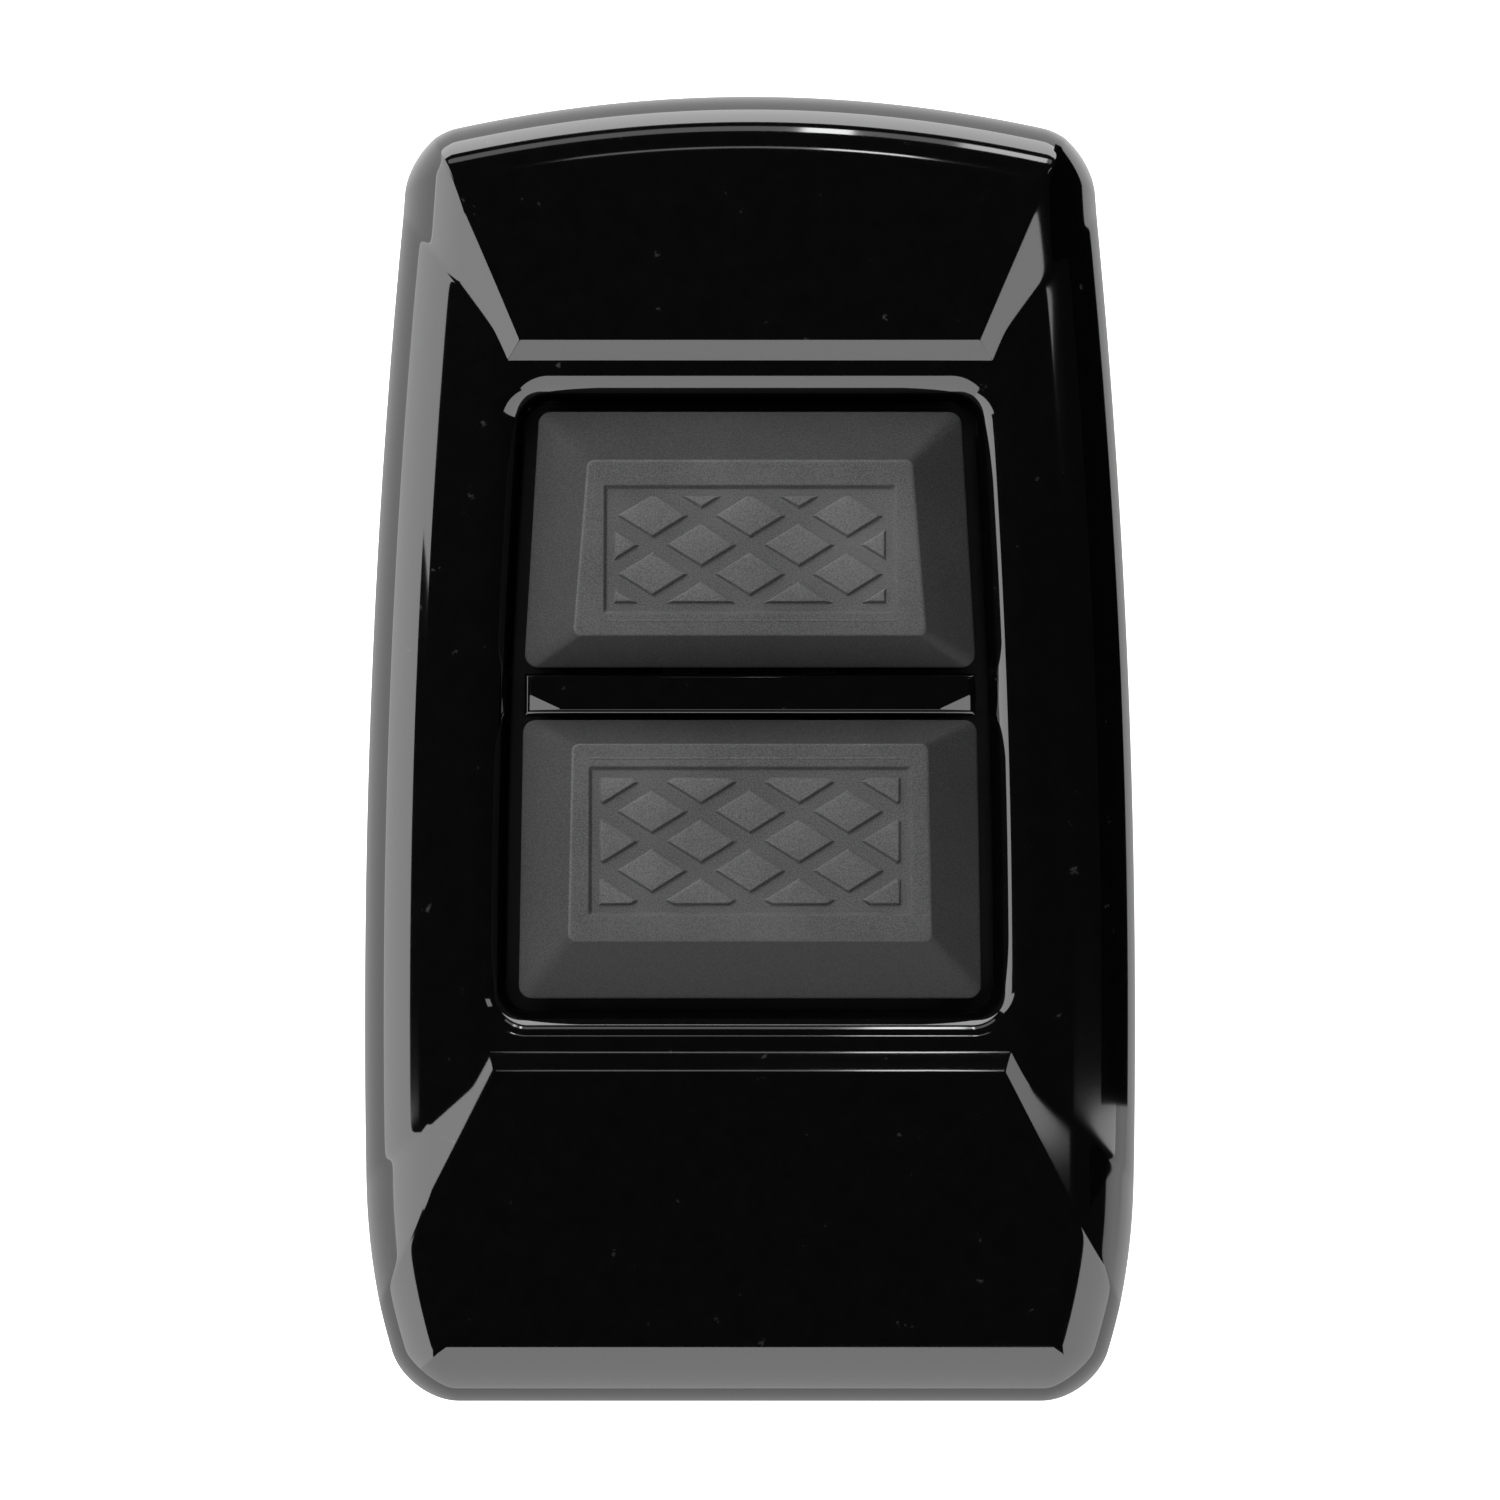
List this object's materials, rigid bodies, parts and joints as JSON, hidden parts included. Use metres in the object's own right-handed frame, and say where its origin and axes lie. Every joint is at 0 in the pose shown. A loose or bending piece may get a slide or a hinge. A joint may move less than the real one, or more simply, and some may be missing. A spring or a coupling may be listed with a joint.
{
  "type": "two-button hand control",
  "caption": "Handheld two-button wireless control: glossy barrel-shaped shell with raised end blocks, a recessed well, two hinged matte thumb pads and a sliding battery door.",
  "frame": {"origin": "on the surface it rests on, under the middle of the body", "axes": "+Z out of the face with the pads, +Y towards the arched end, +X to the right as seen from the face"},
  "size_m": [0.0424, 0.0718, 0.0134],
  "materials": {
    "gloss_black": "high gloss, deep black",
    "base_black": "fine spark-eroded satin",
    "seal_rubber": "matte",
    "screw_steel": "zinc-plated",
    "frame_black": "satin",
    "pad_grey": "soft matte with fine grain",
    "switch_body": "satin",
    "plunger_red": "satin",
    "board_green": "solder mask",
    "cell_steel": "bright",
    "contact_brass": "bright",
    "shield_can": "tinned",
    "chip_black": "moulded epoxy",
    "passive_tan": "ceramic"
  },
  "bodies": {
    "housing": {"front_shell": "gloss_black", "base_plate": "base_black", "body_gasket": "seal_rubber", "housing_screws": "screw_steel", "hinge_frame": "frame_black", "well_seal": "seal_rubber", "hinge_pin": "screw_steel", "centre_bar": "gloss_black", "upper_switch": "switch_body", "lower_switch": "switch_body", "circuit_board": "board_green", "board_screws": "screw_steel", "battery_holder": "frame_black", "coin_cell": "cell_steel", "positive_contact": "contact_brass", "negative_contact": "contact_brass", "radio_module": "shield_can", "controller_chip": "chip_black", "crystal": "shield_can", "board_passives": "passive_tan", "antenna": "contact_brass"},
    "upper_paddle": {"upper_carrier": "gloss_black", "upper_pad": "pad_grey"},
    "lower_paddle": {"lower_carrier": "gloss_black", "lower_pad": "pad_grey"},
    "upper_button": {"upper_plunger": "plunger_red"},
    "lower_button": {"lower_plunger": "plunger_red"},
    "door": {"battery_door": "base_black"}
  },
  "joints": [
    {"name": "upper_press", "type": "hinge", "parent": "housing", "child": "upper_paddle", "pos_m": [0, 0.00242, 0.009], "axis": [-1, 0, 0], "range_deg": [0, 3], "stiffness_Nm_per_rad": 0.5, "springref_deg": -1.15},
    {"name": "lower_press", "type": "hinge", "parent": "housing", "child": "lower_paddle", "pos_m": [0, 0.00242, 0.009], "axis": [1, 0, 0], "range_deg": [0, 3], "stiffness_Nm_per_rad": 0.5, "springref_deg": -1.15},
    {"name": "upper_plunger_travel", "type": "slide", "parent": "housing", "child": "upper_button", "axis": [0, 0, -1], "range_m": [0, 0.0003]},
    {"name": "lower_plunger_travel", "type": "slide", "parent": "housing", "child": "lower_button", "axis": [0, 0, -1], "range_m": [0, 0.0003]},
    {"name": "door_slide", "type": "slide", "parent": "housing", "child": "door", "axis": [0, -1, 0], "range_m": [0, 0.03]}
  ],
  "couplings": [
    {"joint": "upper_plunger_travel", "follows": "upper_press", "m_per_rad": 0.0056},
    {"joint": "lower_plunger_travel", "follows": "lower_press", "m_per_rad": 0.0056}
  ]
}
